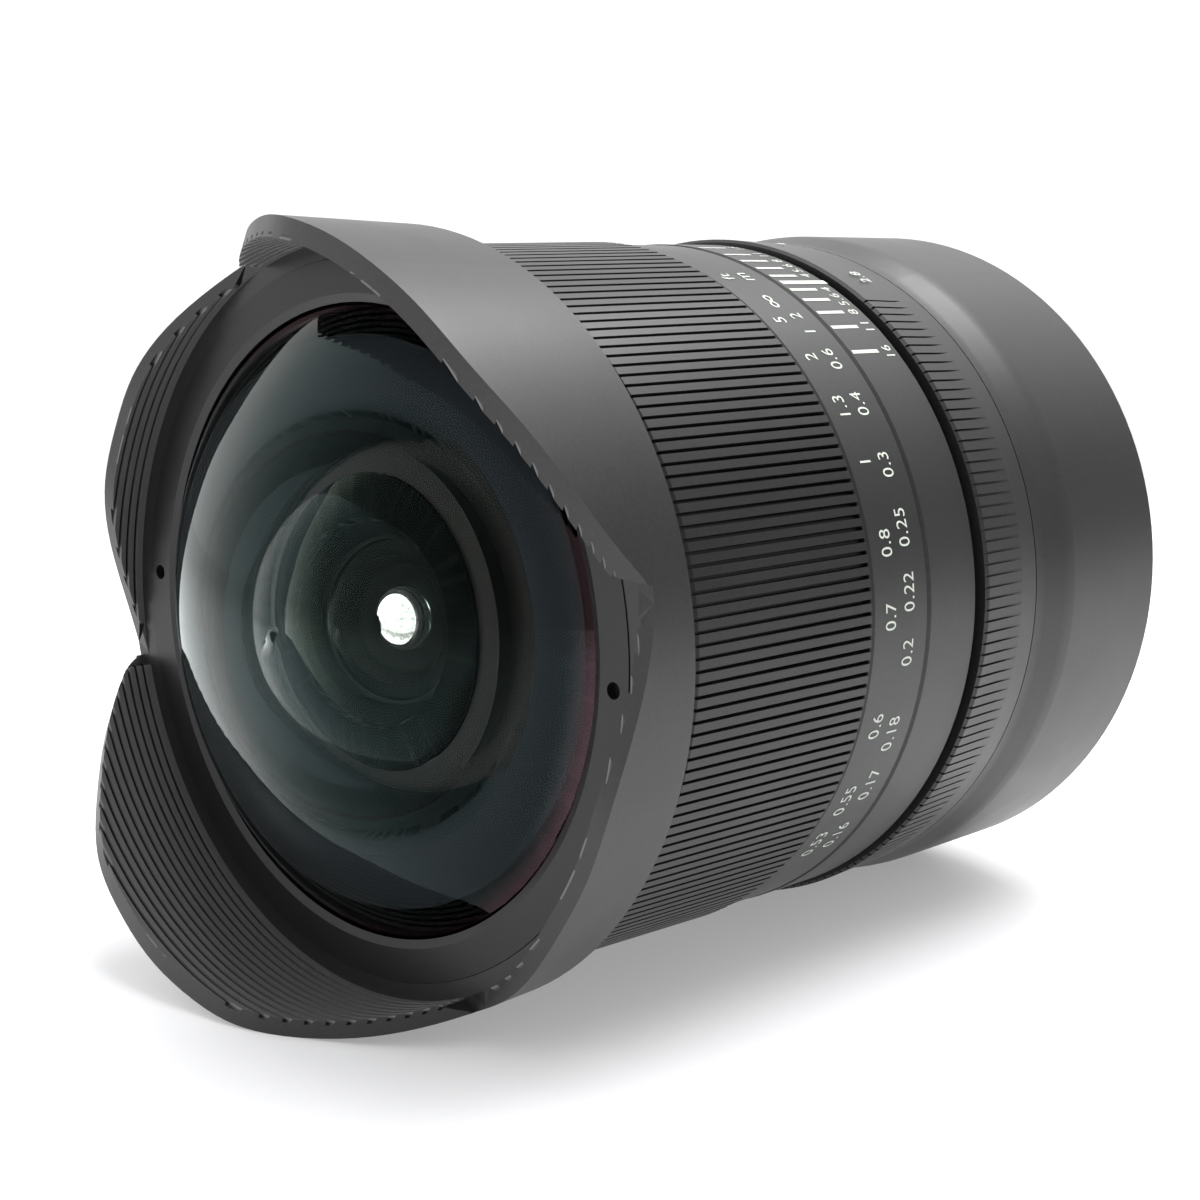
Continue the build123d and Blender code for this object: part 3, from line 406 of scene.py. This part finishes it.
FINISHES = {
    "petal_hood": hood_black,
    "front_retaining_ring": ring_black,
    "focus_grip_ring": knurl_black,
    "focus_scale_ring": anodised,
    "scale_ring": anodised,
    "aperture_ring": anodised,
    "rear_barrel": anodised,
    "main_tube": ring_black,
    "helicoid_sleeve": tube_grey,
    "carrier_tube": tube_grey,
    "front_cell": cell_satin,
    "mount_plate": chrome,
    "mount_screws": steel,
    "key_screws": steel,
    "focus_stop_pin": steel,
    "guide_keys": brass,
    "alignment_dot": bead_red,
}


def finish_for(name):
    if name in FINISHES:
        return FINISHES[name]
    if name.startswith("element_"):
        return glasses.get(name, cemented_glass)
    if name.startswith("iris_blade_"):
        return blade_black
    return inner_black


for name, node in nodes.items():
    node.data.materials.clear()
    node.data.materials.append(finish_for(name))


# Painted marks on the rings

def wrap(mesh, radius, angle, place):
    """Bends a flat outline round the optical axis, its top to the front, its right to smaller angles."""
    for vertex in mesh.vertices:
        turn = math.radians(angle) - vertex.co.x / radius
        along = place - vertex.co.y
        vertex.co = (radius * math.sin(turn), along, radius * math.cos(turn))
    mesh.update()


def painted(name, mesh, radius, angle, place, body):
    """Puts a flat outline on a ring of that radius as a painted mark that moves with the body."""
    wrap(mesh, radius + PAINT_PROUD, angle, place)
    mark = bpy.data.objects.new(name, mesh)
    bpy.context.collection.objects.link(mark)
    mesh.materials.clear()
    mesh.materials.append(paint)
    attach(mark, body)


def number_mesh(text, height):
    """Flat mesh of a number, centred, with its digits at one height."""
    curve = bpy.data.curves.new("number", "FONT")
    curve.body = text
    curve.align_x = "CENTER"
    curve.align_y = "CENTER"
    curve.size = height / TYPE_HEIGHT_SHARE
    curve.space_character = TYPE_SPACING
    holder = bpy.data.objects.new("number", curve)
    bpy.context.collection.objects.link(holder)
    bpy.context.view_layer.update()
    mesh = bpy.data.meshes.new_from_object(holder.evaluated_get(bpy.context.evaluated_depsgraph_get()))
    bpy.data.objects.remove(holder)
    xs = [v.co.x for v in mesh.vertices]
    ys = [v.co.y for v in mesh.vertices]
    middle_x, middle_y = (min(xs) + max(xs)) / 2, (min(ys) + max(ys)) / 2
    stretch = height / (max(ys) - min(ys))
    for vertex in mesh.vertices:
        vertex.co.x = (vertex.co.x - middle_x) * stretch * DIGIT_WIDTH_SHARE
        vertex.co.y = (vertex.co.y - middle_y) * stretch
    return mesh


def bar_mesh(width, length):
    """Flat bar centred on its width, running from zero towards the rear."""
    mesh = bpy.data.meshes.new("bar")
    half = width / 2
    corners = [(-half, 0, 0), (half, 0, 0), (half, -length, 0), (-half, -length, 0)]
    mesh.from_pydata(corners, [], [(0, 1, 2, 3)])
    mesh.update()
    return mesh


def safe(text):
    """A number as it is written in a piece's name."""
    return text.replace(".", "_")


def paint_fixed_ring():
    """Index line, and depth-of-field lines with their stops on both sides of it."""
    front, rear, radius = span("scale_ring")
    start = front + INDEX_START
    painted("index_line", bar_mesh(INDEX_WIDTH, rear - start), radius, INDEX_ANGLE, start, "barrel")
    for stop, offset in STOP_ANGLES.items():
        for side, word in ((-1, "left"), (1, "right")):
            angle = INDEX_ANGLE + side * offset
            label = f"depth_{safe(stop)}_{word}"
            line = bar_mesh(LINE_WIDTH, LINE_LENGTH)
            painted(label + "_line", line, radius, angle, front + LINE_START, "barrel")
            number = number_mesh(stop, STOP_DIGIT_HEIGHT)
            painted(label, number, radius, angle, front + STOP_NUMBER_PLACE, "barrel")


def paint_focus_ring():
    """Rows of distances, each with its unit, and the sign for infinity."""
    _, rear, radius = span("focus_scale_ring")
    for word, unit, unit_height, row, marks in FOCUS_ROWS:
        for text, offset in marks.items():
            number = number_mesh(text, DIGIT_HEIGHT)
            painted(f"{word}_{safe(text)}", number, radius, INDEX_ANGLE + offset, rear - row, "focus_ring")
        sign = number_mesh(unit, unit_height)
        painted(f"{word}_unit", sign, radius, INDEX_ANGLE + UNIT_ANGLE, rear - row, "focus_ring")
    sign = number_mesh("∞", INFINITY_HEIGHT)
    painted("infinity", sign, radius, INDEX_ANGLE + INFINITY_ANGLE, rear - INFINITY_ROW, "focus_ring")


def paint_aperture_ring():
    front, _, radius = span("aperture_ring")
    for text, share in APERTURE_MARKS.items():
        angle = INDEX_ANGLE - share * APERTURE_TRAVEL
        number = number_mesh(text, APERTURE_DIGIT_HEIGHT)
        painted(f"aperture_{safe(text)}", number, radius, angle, front + APERTURE_ROW, "aperture_ring")


paint_fixed_ring()
paint_focus_ring()
paint_aperture_ring()


# Floor, light and camera

def stage_floor():
    """Pale floor that brightens with distance until it meets the white surroundings."""
    bpy.ops.mesh.primitive_plane_add(size=FLOOR_SIZE)
    floor = bpy.context.object
    floor.name = "floor"
    floor.rotation_euler = (math.radians(FLOOR_TILT), 0, 0)
    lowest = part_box("petal_hood")[0]
    floor.location = (0, lowest[1], lowest[2] - FLOOR_GAP)
    material, parts, links = new_material("floor_white")
    shader = parts["Principled BSDF"]
    shader.inputs["Base Color"].default_value = FLOOR_COLOUR
    shader.inputs["Roughness"].default_value = FLOOR_ROUGHNESS
    place = parts.new("ShaderNodeTexCoord")
    distance = vector_math(parts, links, "LENGTH", "Value", place.outputs["Object"])
    fade = map_range(parts, links, distance, FLOOR_FADE, (FLOOR_GLOW, 1.0), smooth=True)
    glow = parts.new("ShaderNodeEmission")
    whole = mix_shaders(parts, links, fade, shader.outputs["BSDF"], glow.outputs["Emission"])
    links.new(whole, parts["Material Output"].inputs["Surface"])
    floor.data.materials.append(material)


def studio_world():
    """White surroundings that are darker on some sides, but not where the camera sees them.

    Light from behind that has come through the lens is brighter, so that the open iris looks white.
    """
    world = bpy.data.worlds.new("studio")
    bpy.context.scene.world = world
    world.use_nodes = True
    parts, links = world.node_tree.nodes, world.node_tree.links
    back = parts["Background"]
    direction = parts.new("ShaderNodeTexCoord").outputs["Generated"]
    path = parts.new("ShaderNodeLightPath")
    light = 1.0
    for towards, cosines, share in DARK_SIDES:
        middle = Vector(towards).normalized()
        cosine = vector_math(parts, links, "DOT_PRODUCT", "Value", direction, middle)
        fall = map_range(parts, links, cosine, cosines, (1.0, share), smooth=True)
        light = number_math(parts, links, "MULTIPLY", light, fall)
    light = number_math(parts, links, "MAXIMUM", light, path.outputs["Is Camera Ray"])
    links.new(light, back.inputs["Color"])
    depth = path.outputs["Transmission Depth"]
    passed = number_math(parts, links, "GREATER_THAN", depth, THROUGH_SURFACES)
    behind = number_math(parts, links, "GREATER_THAN", along_axis(parts, links, direction), 0)
    through = number_math(parts, links, "MULTIPLY", passed, behind)
    strengths = (SKY_STRENGTH, SKY_STRENGTH * THROUGH_GAIN)
    links.new(map_range(parts, links, through, (0.0, 1.0), strengths), back.inputs["Strength"])


def softbox():
    lamp = bpy.data.lights.new("overhead", "AREA")
    lamp.shape = "RECTANGLE"
    lamp.size = lamp.size_y = SOFTBOX_SIZE
    lamp.energy = SOFTBOX_POWER
    holder = bpy.data.objects.new("overhead", lamp)
    bpy.context.collection.objects.link(holder)
    holder.location = SOFTBOX_PLACE
    aim = Vector(SOFTBOX_AIM) - Vector(SOFTBOX_PLACE)
    holder.rotation_euler = aim.to_track_quat("-Z", "Y").to_euler()


def studio_camera():
    data = bpy.data.cameras.new("camera")
    data.lens = CAMERA_LENS
    data.sensor_width = SENSOR_WIDTH
    data.clip_start = NEAREST_SEEN
    camera = bpy.data.objects.new("camera", data)
    bpy.context.collection.objects.link(camera)
    azimuth, elevation = math.radians(CAMERA_AZIMUTH), math.radians(CAMERA_ELEVATION)
    back = Vector((
        math.sin(azimuth) * math.cos(elevation),
        -math.cos(azimuth) * math.cos(elevation),
        math.sin(elevation),
    ))
    right = Vector((math.cos(azimuth), math.sin(azimuth), 0))
    up = back.cross(right)
    turn = Matrix((right, up, back)).transposed().to_4x4()
    roll = Matrix.Rotation(math.radians(CAMERA_ROLL), 4, "Z")
    camera.matrix_world = Matrix.Translation(CAMERA_PLACE) @ turn @ roll
    bpy.context.scene.camera = camera


stage_floor()
studio_world()
softbox()
studio_camera()

scene = bpy.context.scene
scene.view_settings.view_transform = "Standard"
scene.cycles.max_bounces = MOST_BOUNCES
scene.cycles.transmission_bounces = GLASS_BOUNCES
scene.cycles.transparent_max_bounces = CLEAR_BOUNCES
scene.cycles.glossy_bounces = GLOSSY_BOUNCES
